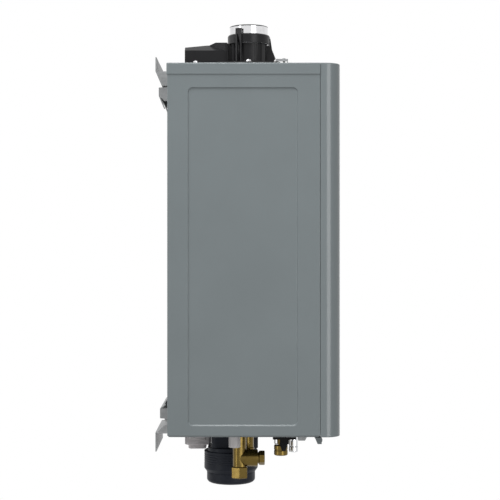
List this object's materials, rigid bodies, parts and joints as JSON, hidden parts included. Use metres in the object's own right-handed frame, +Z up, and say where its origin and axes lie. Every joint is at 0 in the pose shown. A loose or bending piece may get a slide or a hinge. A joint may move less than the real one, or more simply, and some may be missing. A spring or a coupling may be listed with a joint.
{
  "type": "tankless water heater",
  "caption": "Wall-hung condensing tankless water heater: sheet case, bowed front cover, flue and air intake on top, circulation pump, brass water and gas fittings below, wall brackets behind.",
  "frame": {"origin": "centre of the back face of the upper wall bracket's flange, on the wall plane", "axes": "+Y into the wall, the front cover faces -Y; +Z up; +X to the right as seen from the front"},
  "size_m": [0.473, 0.3449, 0.896],
  "materials": {
    "case_paint": "satin powder coat",
    "galvanised_steel": "galvanised",
    "zinc_screw": "bright zinc",
    "black_plastic": "moulded, fine grain",
    "polished_steel": "polished",
    "black_rubber": "matte",
    "pump_plastic": "moulded, matte",
    "brass": "as machined",
    "pale_plastic": "moulded",
    "white_plastic": "moulded",
    "chrome": "plated",
    "copper": "copper, drawn",
    "stainless_steel": "pressed sheet",
    "cast_aluminium": "as cast",
    "display_lens": "clear-fronted, dark",
    "button_plastic": "moulded"
  },
  "bodies": {
    "heater": {"bleed_tube": "white_plastic", "blower_housing": "cast_aluminium", "blower_motor": "cast_aluminium", "bottom_plate": "case_paint", "burner_box": "stainless_steel", "cable_clip": "galvanised_steel", "cold_riser": "copper", "condensate_trap": "pale_plastic", "control_bezel": "black_plastic", "control_box": "black_plastic", "display_lens": "display_lens", "drain_hose": "black_rubber", "drain_plug": "chrome", "drain_spigot": "pale_plastic", "exchanger_bracket": "galvanised_steel", "flow_sensor": "brass", "flue_adapter": "black_plastic", "flue_clip": "galvanised_steel", "flue_clip_screw": "zinc_screw", "flue_seal": "black_rubber", "flue_sleeve": "polished_steel", "front_cover": "case_paint", "gas_grommet": "black_rubber", "gas_inlet_nut": "brass", "gas_inlet_pipe": "brass", "gas_manifold": "cast_aluminium", "gas_valve": "cast_aluminium", "hot_outlet": "brass", "hot_pipe": "copper", "igniter": "white_plastic", "inlet_tee": "brass", "intake_duct": "black_plastic", "left_cover_lug": "case_paint", "left_flue_latch": "black_plastic", "left_flue_screw": "zinc_screw", "left_side_panel": "case_paint", "lower_hanger_hook": "galvanised_steel", "lower_wall_bracket": "galvanised_steel", "primary_heat_exchanger": "copper", "pump_end_cap": "pump_plastic", "pump_motor": "pump_plastic", "pump_volute": "pump_plastic", "rear_panel": "case_paint", "right_cover_lug": "case_paint", "right_flue_latch": "black_plastic", "right_flue_screw": "zinc_screw", "right_side_panel": "case_paint", "secondary_heat_exchanger": "stainless_steel", "strainer_cap": "brass", "top_cap": "case_paint", "top_gasket": "black_rubber", "upper_hanger_hook": "galvanised_steel", "upper_wall_bracket": "galvanised_steel"},
    "blower_wheel": {"blower_wheel": "black_plastic"},
    "flow_turbine": {"flow_turbine": "white_plastic"},
    "pump_impeller": {"pump_impeller": "white_plastic"},
    "push_button_1": {"push_button_1": "button_plastic"},
    "push_button_2": {"push_button_2": "button_plastic"},
    "push_button_3": {"push_button_3": "button_plastic"},
    "push_button_4": {"push_button_4": "button_plastic"}
  },
  "joints": [
    {"name": "blower_spin", "type": "hinge", "parent": "heater", "child": "blower_wheel", "pos_m": [0, -0.175, -0.4024], "axis": [1, 0, 0], "continuous": true},
    {"name": "impeller_spin", "type": "hinge", "parent": "heater", "child": "pump_impeller", "pos_m": [0, -0.142, -0.744], "axis": [0, 0, 1], "continuous": true},
    {"name": "turbine_spin", "type": "hinge", "parent": "heater", "child": "flow_turbine", "pos_m": [-0.12, -0.1597, -0.613], "axis": [0, 0, 1], "continuous": true},
    {"name": "button_1_press", "type": "slide", "parent": "heater", "child": "push_button_1", "axis": [0, 1, 0], "range_m": [0, 0.0008], "stiffness_N_per_m": 800, "springref_m": -0.0005},
    {"name": "button_2_press", "type": "slide", "parent": "heater", "child": "push_button_2", "axis": [0, 1, 0], "range_m": [0, 0.0008], "stiffness_N_per_m": 800, "springref_m": -0.0005},
    {"name": "button_3_press", "type": "slide", "parent": "heater", "child": "push_button_3", "axis": [0, 1, 0], "range_m": [0, 0.0008], "stiffness_N_per_m": 800, "springref_m": -0.0005},
    {"name": "button_4_press", "type": "slide", "parent": "heater", "child": "push_button_4", "axis": [0, 1, 0], "range_m": [0, 0.0008], "stiffness_N_per_m": 800, "springref_m": -0.0005}
  ]
}
